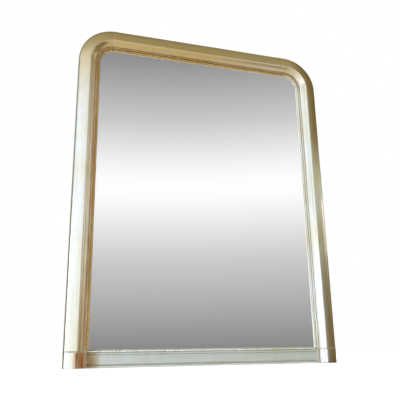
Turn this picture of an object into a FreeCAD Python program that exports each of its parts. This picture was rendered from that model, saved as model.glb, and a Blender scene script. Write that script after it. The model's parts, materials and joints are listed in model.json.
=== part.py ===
import FreeCAD
import Part
import math
import os

# Overmantel mirror with rounded top corners, a flat bottom rail and two plinth blocks.
# Millimetres. X runs to the viewer's right, Y into the wall, Z up from the mantel shelf.
# The origin is at the middle of the foot of the frame.
# A section is drawn in two measures: "out" runs outward from the sight edge of the frame,
# and "front" runs forward from the front face of the glass.

Vector = FreeCAD.Vector

# Sight opening, the part of the glass that shows
sight_width = 925.0
sight_height = 1246.0
sight_corner_radius = 60.0

# Rounded moulding of the stiles, the top rail and the top corners
moulding_width = 91.0
moulding_side_height = 7.0
lip_width = 1.6
lip_height = 4.4
channel_width = 9.2
channel_floor = 3.0
fillet_width = 6.0
fillet_height = 8.6
fillet_rise = 1.0
groove_width = 2.0
groove_depth = 2.2
cove_start_height = 9.5
cove_start_angle = 15.0
cove_end_angle = 72.0
cove_radius = 23.0
crown_radius = 9.0
flank_angle = 9.0
flank_reach_share = 0.8
shoulder_share = 0.95

# Bottom rail
bottom_rail_height = 64.5
field_height = 9.0
foot_bead_height = 10.5
foot_bead_rise = 4.5

# Plinth blocks
plinth_drop = 4.0
plinth_step = 0.8
plinth_edge_out = 5.0

# Pearl beading
bead_radius = 4.3
bead_pitch = 9.3
bead_neck_radius = 1.7

# Glass
glass_thickness = 4.0
glass_cover = 8.0
silvering_thickness = 0.3
setting_block_length = 60.0
setting_block_place_share = 0.25
glass_block_length = 40.0
glass_block_reach = 8.0
glass_block_height = 9.0
glass_block_shares = (0.12, 0.38, 0.62, 0.88)

# Carcase behind the mouldings
rebate_width = 10.0
carcase_thickness = 19.0
carcase_setback = 1.5
peg_radius = 4.5
top_lap_peg_shares = (0.22, 0.39)
bottom_lap_peg_shares = (0.2, 0.8)

# Wall battens
batten_thickness = 15.0
bottom_batten_height = 28.0
batten_nail_margin = 60.0
side_batten_nails = 6
cross_batten_nails = 5

# Backboards
board_count = 7
board_thickness = 9.0
board_lap = 14.0
board_gap = 1.2
board_chamfer = 1.2
board_nail_shares = (0.2, 0.8)
edge_nail_shares = (0.15, 0.38, 0.62, 0.85)

# Fasteners
fit_clearance = 0.05
screw_shank_radius = 2.2
screw_head_radius = 4.2
screw_head_height = 2.8
screw_tip_length = 5.0
screw_slot_width = 1.0
screw_slot_depth = 1.2
screw_bite = 15.0
bottom_screw_bite = 5.5
screw_margin = 60.0
side_screws = 4
top_screws = 4
bottom_screws = 5
corner_screw_share = 0.68
nail_shank_radius = 1.2
nail_head_radius = 3.0
nail_head_height = 0.9
nail_tip_length = 3.0
nail_bite = 12.0
dowel_radius = 4.0
dowel_length = 50.0
dowel_front = 16.0
dowel_out_shares = (0.42, 0.66)

# Hanging straps and rings
hanger_drop = 250.0
strap_width = 18.0
strap_length = 70.0
strap_thickness = 1.6
ring_wire_radius = 1.75
ring_inner_width = 23.0
ring_drop = 28.0
ring_bend_radius = 4.5
ring_rest_angle = 7.0
ring_bore_clearance = 0.1
ring_side_clearance = 0.5
hanger_screw_length = 16.0
hanger_screw_radius = 1.9
hanger_head_radius = 3.9
hanger_head_height = 2.4
hanger_lower_screw_drop = 58.0

# One overrun serves every cut that has to pass a face
overrun = 1.0

# Stations across the section
channel_end = lip_width + channel_width
fillet_end = channel_end + fillet_width
cove_start = fillet_end + groove_width
bead_out = lip_width + channel_width / 2
carcase_out = moulding_width - carcase_setback
lap_width = carcase_out - rebate_width
board_out = rebate_width + board_lap
ring_outer_width = ring_inner_width + 4 * ring_wire_radius
batten_inset = board_out + ring_outer_width + 2 * ring_side_clearance
fixing_out = (board_out + batten_inset) / 2
bottom_carcase_height = bottom_rail_height - rebate_width
plinth_height = bottom_rail_height - plinth_drop

# Places in the frame
sight_half = sight_width / 2
sight_bottom = bottom_rail_height
sight_top = sight_bottom + sight_height
corner_x = sight_half - sight_corner_radius
corner_z = sight_top - sight_corner_radius
back_reach = carcase_thickness + batten_thickness
board_bottom = sight_bottom - board_out
board_top = sight_top + board_out
hanger_x = sight_half + fixing_out
hanger_z = sight_top - hanger_drop

LEFT = Vector(-1, 0, 0)
UP = Vector(0, 0, 1)
DOWN = Vector(0, 0, -1)
FRONT = Vector(0, -1, 0)
BACK = Vector(0, 1, 0)
ACROSS = Vector(1, 0, 0)
ORIGIN = Vector(0, 0, 0)


def normal(angle):
    """Unit normal on the viewer's side of a section line that runs at this angle in degrees."""
    turn = math.radians(angle)
    return Vector(-math.sin(turn), math.cos(turn), 0)


def line(start, end):
    return Part.LineSegment(start, end).toShape()


def bend(centre, radius, start_angle, end_angle, side):
    """Arc whose running direction turns from one angle to the other; side is 1 for a round, -1 for a hollow."""
    angles = (start_angle, (start_angle + end_angle) / 2, end_angle)
    points = [centre + normal(angle) * (radius * side) for angle in angles]
    return Part.Arc(*points).toShape()


def polygon(points):
    return [line(a, b) for a, b in zip(points, points[1:])]


# Centres of the ogee, the crown's found from the cove's
cove_centre = Vector(cove_start, cove_start_height, 0) + normal(cove_start_angle) * cove_radius
crown_centre = cove_centre - normal(cove_end_angle) * (cove_radius + crown_radius)
crown_height = crown_centre.y + crown_radius
crown_out = crown_centre.x

# The plinth's crown is the foremost point and the battens are the rearmost, and Y is zero midway
glass_y = (crown_height + plinth_step - back_reach) / 2
carcase_back_y = glass_y + carcase_thickness
wall_y = glass_y + back_reach


def flank(step):
    """Flank that falls slowly from the crown and turns over a tight shoulder to the upright side."""
    start = crown_centre + normal(-flank_angle) * (crown_radius + step)
    side = Vector(moulding_width + step, moulding_side_height, 0)
    run = (side.x - start.x) * flank_reach_share
    reach = start + Vector(run, -run * math.tan(math.radians(flank_angle)), 0)
    shoulder = side + Vector(0, (reach.y - side.y) * shoulder_share, 0)
    curve = Part.BezierCurve()
    curve.setPoles([start, reach, shoulder, side])
    return curve.toShape()


def ogee(step):
    """Cove, crown and flank of the moulding, standing forward by step."""
    return [
        bend(cove_centre, cove_radius - step, cove_start_angle, cove_end_angle, -1),
        bend(crown_centre, crown_radius + step, cove_end_angle, -flank_angle, 1),
        flank(step),
    ]


def sight_edge():
    """Points of the lip beside the glass and of the channel that the beads lie in."""
    return [
        Vector(0, 0, 0),
        Vector(0, lip_height, 0),
        Vector(lip_width, lip_height, 0),
        Vector(lip_width, channel_floor, 0),
        Vector(channel_end, channel_floor, 0),
    ]


def fillet_and_groove(start_out, step, groove_out):
    """Rounded fillet from start_out, then the fine groove up to groove_out."""
    top = fillet_height + step
    middle = Vector((start_out + fillet_end) / 2, top + fillet_rise, 0)
    fillet = Part.Arc(Vector(start_out, top, 0), middle, Vector(fillet_end, top, 0)).toShape()
    floor = top - groove_depth
    return [fillet] + polygon(
        [Vector(fillet_end, top, 0), Vector(fillet_end, floor, 0), Vector(groove_out, floor, 0)]
    )


def moulding_section():
    """Face of the moulding that runs up the stiles and over the top."""
    curve = ogee(0)
    start = curve[0].Vertexes[0].Point
    inner = polygon(sight_edge() + [Vector(channel_end, fillet_height, 0)])
    groove = fillet_and_groove(channel_end, 0, start.x)
    rise = line(groove[-1].Vertexes[-1].Point, start)
    end = Vector(moulding_width, moulding_side_height, 0)
    back = polygon([end, Vector(moulding_width, 0, 0), Vector(0, 0, 0)])
    return Part.Face(Part.Wire(inner + groove + [rise] + curve + back))


def plinth_section():
    """Face of the plinth block: the moulding without its bead channel, standing a step proud."""
    curve = ogee(plinth_step)
    start = curve[0].Vertexes[0].Point
    foot = Vector(plinth_edge_out, 0, 0)
    inner = polygon([foot, Vector(plinth_edge_out, fillet_height + plinth_step, 0)])
    groove = fillet_and_groove(plinth_edge_out, plinth_step, start.x)
    rise = line(groove[-1].Vertexes[-1].Point, start)
    side = moulding_width + plinth_step
    back = polygon([Vector(side, moulding_side_height, 0), Vector(side, 0, 0), foot])
    return Part.Face(Part.Wire(inner + groove + [rise] + curve + back))


def bottom_rail_section():
    """Face of the bottom rail: sight edge, flat field and a half-round along the foot."""
    inner = polygon(sight_edge() + [Vector(channel_end, fillet_height, 0)])
    groove = fillet_and_groove(channel_end, 0, cove_start)
    foot_top = bottom_rail_height - foot_bead_height
    field = polygon(
        [groove[-1].Vertexes[-1].Point, Vector(cove_start, field_height, 0), Vector(foot_top, field_height, 0)]
    )
    foot = Part.Arc(
        Vector(foot_top, field_height, 0),
        Vector(foot_top + foot_bead_height / 2, field_height + foot_bead_rise, 0),
        Vector(bottom_rail_height, field_height, 0),
    ).toShape()
    back = polygon(
        [Vector(bottom_rail_height, field_height, 0), Vector(bottom_rail_height, 0, 0), Vector(0, 0, 0)]
    )
    return Part.Face(Part.Wire(inner + groove + field + [foot] + back))


def stand(shape, outward, x, z):
    """Turns a section's solid so that out runs along outward and front faces the viewer, at a sight-edge point."""
    along = outward.cross(FRONT)
    turn = FreeCAD.Matrix(
        outward.x, FRONT.x, along.x, x,
        outward.y, FRONT.y, along.y, glass_y,
        outward.z, FRONT.z, along.z, z,
        0, 0, 0, 1,
    )
    placed = shape.copy()
    placed.Placement = FreeCAD.Placement(turn).multiply(shape.Placement)
    return placed


def run(section, length):
    return section.extrude(Vector(0, 0, length))


def box(x0, x1, y0, y1, z0, z1):
    corner = Vector(min(x0, x1), min(y0, y1), min(z0, z1))
    return Part.makeBox(abs(x1 - x0), abs(y1 - y0), abs(z1 - z0), corner)


def mirrored(shape):
    return shape.mirror(ORIGIN, ACROSS)


def group(solids):
    return Part.makeCompound(solids)


def both_sides(solids):
    return solids + [mirrored(solid) for solid in solids]


def spaced(start, end, count):
    step = (end - start) / (count - 1)
    return [start + step * i for i in range(count)]


def turned(points, place):
    """Solid turned about a line along Y through place, from points of radius and depth behind place."""
    outline = [Vector(radius, depth, 0) for radius, depth in points]
    face = Part.Face(Part.Wire(polygon(outline + outline[:1])))
    solid = face.revolve(ORIGIN, BACK, 360)
    solid.translate(place)
    return solid


def screw_body(place, bite, clearance):
    """Countersunk screw driven forward from the back of the carcase."""
    shank = screw_shank_radius + clearance
    head = screw_head_radius + clearance
    end = carcase_thickness + bite + clearance
    points = [
        (0, 0),
        (head, 0),
        (shank, -screw_head_height),
        (shank, screw_tip_length - end),
        (0, -end),
    ]
    return turned(points, place)


def screw(place, bite):
    slot = box(
        place.x - screw_head_radius,
        place.x + screw_head_radius,
        place.y - screw_slot_depth,
        place.y + overrun,
        place.z - screw_slot_width / 2,
        place.z + screw_slot_width / 2,
    )
    return screw_body(place, bite, 0).cut(slot)


def nail(place, length):
    """Nail driven forward, its head on the face at place."""
    points = [
        (0, nail_head_height),
        (nail_head_radius, nail_head_height),
        (nail_head_radius, 0),
        (nail_shank_radius, 0),
        (nail_shank_radius, nail_tip_length - length),
        (0, -length),
    ]
    return turned(points, place)


def nail_hole(place, length):
    hole = nail_shank_radius + fit_clearance
    depth = length + fit_clearance
    return Part.makeCylinder(hole, depth + overrun, place + BACK * overrun, FRONT)


def round_screw(place):
    """Round-headed screw driven forward, its head on the face at place."""
    head_edge = Vector(hanger_head_radius, 0, 0)
    crown = Vector(0, hanger_head_height, 0)
    slope = Vector(hanger_head_radius, hanger_head_height, 0) * math.sin(math.radians(45))
    dome = Part.Arc(head_edge, slope, crown).toShape()
    sides = polygon(
        [
            crown,
            Vector(0, -hanger_screw_length, 0),
            Vector(hanger_screw_radius, screw_tip_length - hanger_screw_length, 0),
            Vector(hanger_screw_radius, 0, 0),
            head_edge,
        ]
    )
    solid = Part.Face(Part.Wire([dome] + sides)).revolve(ORIGIN, BACK, 360)
    slot = box(
        -hanger_head_radius,
        hanger_head_radius,
        hanger_head_height - screw_slot_depth,
        hanger_head_height + overrun,
        -screw_slot_width / 2,
        screw_slot_width / 2,
    )
    solid = solid.cut(slot)
    solid.translate(place)
    return solid


def round_screw_hole(place):
    depth = hanger_screw_length + fit_clearance
    return Part.makeCylinder(
        hanger_screw_radius + fit_clearance, depth + overrun, place + BACK * overrun, FRONT
    )


# Places of the fasteners, each on the face that it is driven into


def side_screw_places():
    """Down the left stile, clear of the hanger, and one above it."""
    low = spaced(plinth_height + screw_margin, hanger_z - strap_length - screw_margin / 2, side_screws)
    high = [(hanger_z + ring_drop + corner_z) / 2]
    return [Vector(-hanger_x, carcase_back_y, z) for z in low + high]


def corner_screw_place():
    out = corner_screw_share * moulding_width
    reach = (sight_corner_radius + out) * math.sin(math.radians(45))
    return Vector(-corner_x - reach, carcase_back_y, corner_z + reach)


def top_screw_places():
    end = corner_x - screw_margin
    return [Vector(x, carcase_back_y, sight_top + fixing_out) for x in spaced(-end, end, top_screws)]


def plinth_screw_place():
    return Vector(-hanger_x, carcase_back_y, bottom_carcase_height / 2)


def bottom_screw_places():
    end = sight_half - screw_margin
    z = (bottom_batten_height + board_bottom) / 2
    return [Vector(x, carcase_back_y, z) for x in spaced(-end, end, bottom_screws)]


def long_screw_places():
    left = side_screw_places() + [corner_screw_place(), plinth_screw_place()]
    right = [Vector(-place.x, place.y, place.z) for place in left]
    return left + right + top_screw_places()


def screw_holes():
    long_holes = [screw_body(place, screw_bite, fit_clearance) for place in long_screw_places()]
    short_holes = [
        screw_body(place, bottom_screw_bite, fit_clearance) for place in bottom_screw_places()
    ]
    return long_holes + short_holes


def dowel_places():
    """Middle and direction of each dowel on the left half, across the butt joints of the moulding."""
    places = []
    for share in dowel_out_shares:
        out = share * moulding_width
        y = glass_y - dowel_front
        places.append((Vector(-sight_half - out, y, plinth_height), UP))
        places.append((Vector(-sight_half - out, y, corner_z), UP))
        places.append((Vector(-corner_x, y, sight_top + out), ACROSS))
    return places


def dowels(clearance):
    length = dowel_length + 2 * clearance
    radius = dowel_radius + clearance
    left = [
        Part.makeCylinder(radius, length, middle - direction * (length / 2), direction)
        for middle, direction in dowel_places()
    ]
    return both_sides(left)


def pegs(clearance):
    """Two pegs through each half-lap of the carcase."""
    low = [
        (sight_half + rebate_width + share * lap_width, bottom_carcase_height / 2)
        for share in bottom_lap_peg_shares
    ]
    near, far = [rebate_width + share * lap_width for share in top_lap_peg_shares]
    high = [
        (sight_half + near, sight_top + far),
        (sight_half + far, sight_top + near),
    ]
    left = [
        Part.makeCylinder(peg_radius + clearance, carcase_thickness, Vector(-x, glass_y, z), BACK)
        for x, z in low + high
    ]
    return both_sides(left)


def board_height():
    return (board_top - board_bottom - board_gap * (board_count - 1)) / board_count


def board_foot(index):
    return board_bottom + index * (board_height() + board_gap)


def board_nail_places():
    y = carcase_back_y + board_thickness
    lap_middle = rebate_width + board_lap / 2
    ends = []
    for index in range(board_count):
        for share in board_nail_shares:
            z = board_foot(index) + share * board_height()
            ends.append(Vector(-sight_half - lap_middle, y, z))
            ends.append(Vector(sight_half + lap_middle, y, z))
    edges = []
    for share in edge_nail_shares:
        x = (share - 0.5) * sight_width
        edges.append(Vector(x, y, sight_bottom - lap_middle))
        edges.append(Vector(x, y, sight_top + lap_middle))
    return ends + edges


def batten_nail_places():
    out = (batten_inset + carcase_out) / 2
    places = []
    for z in spaced(batten_nail_margin, corner_z - batten_nail_margin, side_batten_nails):
        places.append(Vector(-sight_half - out, wall_y - nail_head_height, z))
        places.append(Vector(sight_half + out, wall_y - nail_head_height, z))
    end = corner_x - batten_nail_margin
    for x in spaced(-end, end, cross_batten_nails):
        places.append(Vector(x, wall_y - nail_head_height, sight_top + out))
        places.append(Vector(x, wall_y - nail_head_height, bottom_batten_height / 2))
    return places


# Front mouldings


def stile_moulding():
    solid = run(moulding_section(), corner_z - plinth_height)
    solid = stand(solid, LEFT, -sight_half, plinth_height)
    # The sight edge stops on the end of the bottom rail, a little above the plinth
    foot = box(
        -sight_half - plinth_edge_out,
        -sight_half + overrun,
        glass_y + overrun,
        glass_y - fillet_height,
        plinth_height - overrun,
        sight_bottom,
    )
    return solid.cut(group([foot] + dowels(fit_clearance) + screw_holes()))


def corner_moulding():
    axis = Vector(-sight_corner_radius, 0, 0)
    solid = moulding_section().revolve(axis, Vector(0, 1, 0), -90)
    solid = stand(solid, LEFT, -sight_half, corner_z)
    return solid.cut(group(dowels(fit_clearance) + screw_holes()))


def top_rail_moulding():
    solid = run(moulding_section(), 2 * corner_x)
    solid = stand(solid, UP, -corner_x, sight_top)
    return solid.cut(group(dowels(fit_clearance) + screw_holes()))


def bottom_rail_moulding():
    """Fits between the plinth blocks."""
    end = sight_half + plinth_edge_out
    solid = stand(run(bottom_rail_section(), 2 * end), DOWN, end, sight_bottom)
    return solid.cut(group(screw_holes()))


def plinth_block():
    solid = stand(run(plinth_section(), plinth_height), LEFT, -sight_half, 0)
    return solid.cut(group(dowels(fit_clearance) + screw_holes()))


# Pearl beading


def bead_string(count, pitch):
    """Half-round beads on a thin stem, turned about the line that they lie along."""
    chord = math.sqrt(bead_radius**2 - bead_neck_radius**2)
    edges = []
    start = Vector(0, 0, -bead_radius)
    for i in range(count):
        middle = i * pitch
        last = i == count - 1
        end = Vector(0, 0, middle + bead_radius) if last else Vector(bead_neck_radius, 0, middle + chord)
        edges.append(Part.Arc(start, Vector(bead_radius, 0, middle), end).toShape())
        if not last:
            start = Vector(bead_neck_radius, 0, middle + pitch - chord)
            edges.append(line(end, start))
    edges.append(line(end, Vector(0, 0, -bead_radius)))
    string = Part.Face(Part.Wire(edges)).revolve(ORIGIN, Vector(0, 0, 1), 180)
    string.translate(Vector(bead_out, channel_floor, 0))
    return string


def bead_strip(length):
    """String of beads that fills a length, half a pitch from each end; its pitch is fitted to the length."""
    count = round(length / bead_pitch)
    pitch = length / count
    string = bead_string(count, pitch)
    string.translate(Vector(0, 0, pitch / 2))
    return string


def side_bead_strip():
    return stand(bead_strip(corner_z - sight_bottom), LEFT, -sight_half, sight_bottom)


def top_bead_strip():
    return stand(bead_strip(2 * corner_x), UP, -corner_x, sight_top)


def bottom_bead_strip():
    half = sight_half + plinth_edge_out
    return stand(bead_strip(2 * half), DOWN, half, sight_bottom)


def corner_beads():
    """Half-beads on a curved stem round a top corner."""
    radius = sight_corner_radius + bead_out
    count = round(radius * math.radians(90) / bead_pitch)
    step = 90 / count
    axis = Vector(-sight_corner_radius, 0, 0)
    start = Vector(bead_out, channel_floor, 0)
    beads = []
    for i in range(count):
        bead = Part.makeSphere(bead_radius, start, Vector(0, 1, 0), 0, 90, 360)
        bead.rotate(axis, Vector(0, 1, 0), -step * (i + 0.5))
        beads.append(bead)
    rim = Part.Arc(
        start + Vector(bead_neck_radius, 0, 0),
        start + Vector(0, bead_neck_radius, 0),
        start - Vector(bead_neck_radius, 0, 0),
    ).toShape()
    base = line(start - Vector(bead_neck_radius, 0, 0), start + Vector(bead_neck_radius, 0, 0))
    half_disc = Part.Face(Part.Wire([rim, base]))
    half_disc.rotate(axis, Vector(0, 1, 0), -step / 2)
    stem = half_disc.revolve(axis, Vector(0, 1, 0), step - 90)
    return stand(stem.multiFuse(beads), LEFT, -sight_half, corner_z)


# Pane and what holds it


def pane(front, thickness):
    half = sight_half + glass_cover
    y = glass_y - front
    return box(-half, half, y, y + thickness, sight_bottom - glass_cover, sight_top + glass_cover)


def setting_blocks():
    """Shims between the foot of the pane and the carcase."""
    blocks = []
    for share in (-setting_block_place_share, setting_block_place_share):
        x = share * sight_width
        half = setting_block_length / 2
        foot = sight_bottom - rebate_width
        blocks.append(
            box(x - half, x + half, glass_y, glass_y + glass_thickness, foot, sight_bottom - glass_cover)
        )
    return group(blocks)


def glass_blocks():
    """Three-cornered blocks glued to the edge of the rebate and against the back of the pane."""
    front = -glass_thickness - silvering_thickness
    corner = Vector(rebate_width, front, 0)
    toe = Vector(rebate_width - glass_block_reach, front, 0)
    heel = Vector(rebate_width, front - glass_block_height, 0)
    prism = run(Part.Face(Part.Wire(polygon([corner, toe, heel, corner]))), glass_block_length)
    half = glass_block_length / 2
    blocks = []
    for share in glass_block_shares:
        z = sight_bottom + share * sight_height
        x = (share - 0.5) * sight_width
        blocks.append(stand(prism, LEFT, -sight_half, z - half))
        blocks.append(stand(prism, ACROSS, sight_half, z + half))
        blocks.append(stand(prism, UP, x - half, sight_top))
        blocks.append(stand(prism, DOWN, x + half, sight_bottom))
    return group(blocks)


# Carcase


def carcase_outline():
    """Slab of the carcase's whole outline, with its rounded top corners."""
    side = sight_half + carcase_out
    top = sight_top + carcase_out
    radius = sight_corner_radius + carcase_out
    reach = radius * math.sin(math.radians(45))
    left_arc = Part.Arc(
        Vector(-side, glass_y, corner_z),
        Vector(-corner_x - reach, glass_y, corner_z + reach),
        Vector(-corner_x, glass_y, top),
    ).toShape()
    right_arc = Part.Arc(
        Vector(corner_x, glass_y, top),
        Vector(corner_x + reach, glass_y, corner_z + reach),
        Vector(side, glass_y, corner_z),
    ).toShape()
    edges = [
        left_arc,
        line(Vector(-corner_x, glass_y, top), Vector(corner_x, glass_y, top)),
        right_arc,
        line(Vector(side, glass_y, corner_z), Vector(side, glass_y, 0)),
        line(Vector(side, glass_y, 0), Vector(-side, glass_y, 0)),
        line(Vector(-side, glass_y, 0), Vector(-side, glass_y, corner_z)),
    ]
    return Part.Face(Part.Wire(edges)).extrude(BACK * carcase_thickness)


def carcase_holes():
    boards = [nail_hole(place, board_thickness + nail_bite) for place in board_nail_places()]
    battens = [
        nail_hole(place, batten_thickness - nail_head_height + nail_bite)
        for place in batten_nail_places()
    ]
    hangers = [round_screw_hole(place) for place in hanger_screw_places()]
    return group(boards + battens + hangers + screw_holes() + pegs(fit_clearance))


def back_stile():
    """Runs the whole height, and keeps its front half in the laps."""
    inner = -sight_half - rebate_width
    outer = -sight_half - carcase_out
    lap_y = glass_y + carcase_thickness / 2
    plank = box(inner, outer, glass_y, carcase_back_y, 0, sight_top + carcase_out)
    top_lap = box(
        inner, outer, lap_y, carcase_back_y, sight_top + rebate_width, sight_top + carcase_out
    )
    bottom_lap = box(inner, outer, lap_y, carcase_back_y, 0, bottom_carcase_height)
    plank = plank.common(carcase_outline())
    return plank.cut(group([top_lap, bottom_lap])).cut(carcase_holes())


def back_rail(foot, head):
    """Runs the whole width, and keeps its rear half in the laps."""
    inner = sight_half + rebate_width
    outer = sight_half + carcase_out
    lap_y = glass_y + carcase_thickness / 2
    plank = box(-outer, outer, glass_y, carcase_back_y, foot, head)
    lap = box(inner, outer, glass_y, lap_y, foot, head)
    plank = plank.common(carcase_outline())
    return plank.cut(group(both_sides([lap]))).cut(carcase_holes())


# Battens and boards


def batten_holes():
    holes = []
    for place in batten_nail_places():
        holes.append(nail_hole(place, batten_thickness + nail_bite))
        head = nail_head_radius + fit_clearance
        holes.append(Part.makeCylinder(head, nail_head_height + overrun, place, BACK))
    return group(holes)


def wall_batten(x0, x1, z0, z1):
    return box(x0, x1, carcase_back_y, wall_y, z0, z1).cut(batten_holes())


def backboard(index):
    half = sight_half + board_out
    foot = board_foot(index)
    back = carcase_back_y + board_thickness
    board = box(-half, half, carcase_back_y, back, foot, foot + board_height())
    rear_edges = [edge for edge in board.Edges if abs(edge.CenterOfMass.y - back) < fit_clearance]
    board = board.makeChamfer(board_chamfer, rear_edges)
    holes = [nail_hole(place, board_thickness + nail_bite) for place in board_nail_places()]
    return board.cut(group(holes))


# Hangers

ring_half_width = ring_inner_width / 2 + ring_wire_radius
knuckle_radius = ring_wire_radius + ring_bore_clearance + strap_thickness
pivot_y = carcase_back_y + knuckle_radius


def hanger_screw_places():
    """The ring hangs against the head of the upper screw."""
    y = carcase_back_y + strap_thickness
    return [
        Vector(side * hanger_x, y, hanger_z - drop)
        for side in (-1, 1)
        for drop in (ring_drop, hanger_lower_screw_drop)
    ]


def hanger_strap():
    """Plate with its upper end rolled into a knuckle round the bar of the ring."""
    x0 = -hanger_x - strap_width / 2
    x1 = -hanger_x + strap_width / 2
    plate = box(
        x0, x1, carcase_back_y, carcase_back_y + strap_thickness, hanger_z - strap_length, hanger_z
    )
    knuckle = Part.makeCylinder(knuckle_radius, strap_width, Vector(x0, pivot_y, hanger_z), ACROSS)
    bore = Part.makeCylinder(
        ring_wire_radius + ring_bore_clearance,
        strap_width + 2 * overrun,
        Vector(x0 - overrun, pivot_y, hanger_z),
        ACROSS,
    )
    holes = [round_screw_hole(place) for place in hanger_screw_places()]
    return plate.fuse(knuckle).removeSplitter().cut(group([bore] + holes))


def rod(start, end):
    return Part.makeCylinder(ring_wire_radius, (end - start).Length, start, end - start)


def bent_rod(centre, radius, start, angle):
    """Round bar bent about a line along Y through centre, starting on the side that start points to."""
    direction = start.cross(BACK)
    circle = Part.Circle(centre + start * radius, direction, ring_wire_radius)
    disc = Part.Face(Part.Wire([circle.toShape()]))
    return disc.revolve(centre, BACK, angle)


def hanger_ring():
    """Closed loop: a bar in the knuckle, two legs and a round bow, hung at its resting tilt."""
    pivot = Vector(-hanger_x, pivot_y, hanger_z)
    right = ACROSS * ring_half_width
    bend_in = ACROSS * (ring_half_width - ring_bend_radius)
    bend_drop = DOWN * ring_bend_radius
    bow_drop = DOWN * (ring_drop - ring_half_width)
    pieces = [
        rod(pivot - bend_in, pivot + bend_in),
        rod(pivot - right + bend_drop, pivot - right + bow_drop),
        rod(pivot + right + bend_drop, pivot + right + bow_drop),
        bent_rod(pivot - bend_in + bend_drop, ring_bend_radius, LEFT, 90),
        bent_rod(pivot + bend_in + bend_drop, ring_bend_radius, UP, 90),
        bent_rod(pivot + bow_drop, ring_half_width, ACROSS, 180),
    ]
    ring = pieces[0].multiFuse(pieces[1:]).removeSplitter()
    ring.rotate(pivot, ACROSS, ring_rest_angle)
    return ring


def write(name, shape):
    shape.exportStep(f"parts/{name}.step")


def write_pair(name, shape):
    """Writes the left piece and its mirror image; the name has a place for the side."""
    write(name.format("left"), shape)
    write(name.format("right"), mirrored(shape))


def write_front():
    write_pair("{}_stile_moulding", stile_moulding())
    write_pair("top_{}_corner_moulding", corner_moulding())
    write("top_rail_moulding", top_rail_moulding())
    write("bottom_rail_moulding", bottom_rail_moulding())
    write_pair("{}_plinth_block", plinth_block())
    write_pair("{}_bead_strip", side_bead_strip())
    write_pair("top_{}_corner_beads", corner_beads())
    write("top_bead_strip", top_bead_strip())
    write("bottom_bead_strip", bottom_bead_strip())


def write_pane():
    write("mirror_glass", pane(0, glass_thickness))
    write("silvering", pane(-glass_thickness, silvering_thickness))
    write("setting_blocks", setting_blocks())
    write("glass_blocks", glass_blocks())


def write_carcase():
    write_pair("{}_back_stile", back_stile())
    write("top_back_rail", back_rail(sight_top + rebate_width, sight_top + carcase_out))
    write("bottom_back_rail", back_rail(0, bottom_carcase_height))
    write("lap_pegs", group(pegs(0)))
    write("moulding_dowels", group(dowels(0)))
    write("moulding_screws", group([screw(place, screw_bite) for place in long_screw_places()]))
    write(
        "bottom_rail_screws",
        group([screw(place, bottom_screw_bite) for place in bottom_screw_places()]),
    )


def write_back():
    inner = sight_half + batten_inset
    outer = sight_half + carcase_out
    write_pair("{}_wall_batten", wall_batten(-outer, -inner, 0, corner_z))
    write(
        "top_wall_batten",
        wall_batten(-corner_x, corner_x, sight_top + batten_inset, sight_top + carcase_out),
    )
    write("bottom_wall_batten", wall_batten(-inner, inner, 0, bottom_batten_height))
    for index in range(board_count):
        write(f"backboard_{index + 1}", backboard(index))
    write(
        "board_nails",
        group([nail(place, board_thickness + nail_bite) for place in board_nail_places()]),
    )
    batten_nail_length = batten_thickness - nail_head_height + nail_bite
    write("batten_nails", group([nail(place, batten_nail_length) for place in batten_nail_places()]))


def write_hangers():
    write_pair("{}_hanger_strap", hanger_strap())
    write_pair("{}_hanger_ring", hanger_ring())
    write("hanger_screws", group([round_screw(place) for place in hanger_screw_places()]))


os.makedirs("parts", exist_ok=True)
write_front()
write_pane()
write_carcase()
write_back()
write_hangers()
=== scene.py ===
import json
import math
from functools import partial

import bpy
import numpy as np
from mathutils import Matrix, Vector


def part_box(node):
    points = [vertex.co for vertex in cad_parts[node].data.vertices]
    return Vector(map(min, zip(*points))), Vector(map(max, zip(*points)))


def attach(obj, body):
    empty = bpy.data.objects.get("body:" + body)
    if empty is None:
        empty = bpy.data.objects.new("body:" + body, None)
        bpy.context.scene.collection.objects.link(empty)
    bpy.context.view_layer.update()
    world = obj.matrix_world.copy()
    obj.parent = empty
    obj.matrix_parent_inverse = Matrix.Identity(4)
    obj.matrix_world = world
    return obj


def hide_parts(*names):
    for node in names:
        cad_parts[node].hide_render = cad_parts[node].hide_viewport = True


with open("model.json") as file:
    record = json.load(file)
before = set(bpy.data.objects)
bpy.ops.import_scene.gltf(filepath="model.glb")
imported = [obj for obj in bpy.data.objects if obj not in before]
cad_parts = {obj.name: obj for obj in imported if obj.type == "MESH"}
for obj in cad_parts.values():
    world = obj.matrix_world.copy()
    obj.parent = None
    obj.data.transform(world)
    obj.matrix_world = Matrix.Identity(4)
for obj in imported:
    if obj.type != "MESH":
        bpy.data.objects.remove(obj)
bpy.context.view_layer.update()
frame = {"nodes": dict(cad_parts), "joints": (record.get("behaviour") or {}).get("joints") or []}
nodes = frame["nodes"]
scene = bpy.context.scene
scene.view_settings.view_transform = "Standard"
print("frame loaded,", len(nodes), "nodes")

mm = 0.001
quarter = math.pi / 2
sides = {"left": -1, "right": 1}

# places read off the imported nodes
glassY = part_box("mirror_glass")[0].y
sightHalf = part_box("right_stile_moulding")[0].x
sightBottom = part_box("bottom_rail_moulding")[1].z
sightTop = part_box("top_rail_moulding")[0].z
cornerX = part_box("top_rail_moulding")[1].x
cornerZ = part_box("left_stile_moulding")[1].z
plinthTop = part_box("left_plinth_block")[1].z
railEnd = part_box("bottom_rail_moulding")[1].x
cornerRadius = sightTop - cornerZ
stileLength = cornerZ - plinthTop
halfRun = stileLength + quarter * cornerRadius + cornerX  # from a plinth to the middle of the top


# small helpers for colour, nodes and meshes


def hexColour(code):
    # sRGB hex to linear RGBA
    parts = [int(code[k:k + 2], 16) / 255 for k in (1, 3, 5)]
    return [v / 12.92 if v <= 0.04045 else ((v + 0.055) / 1.055) ** 2.4 for v in parts] + [1.0]


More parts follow.
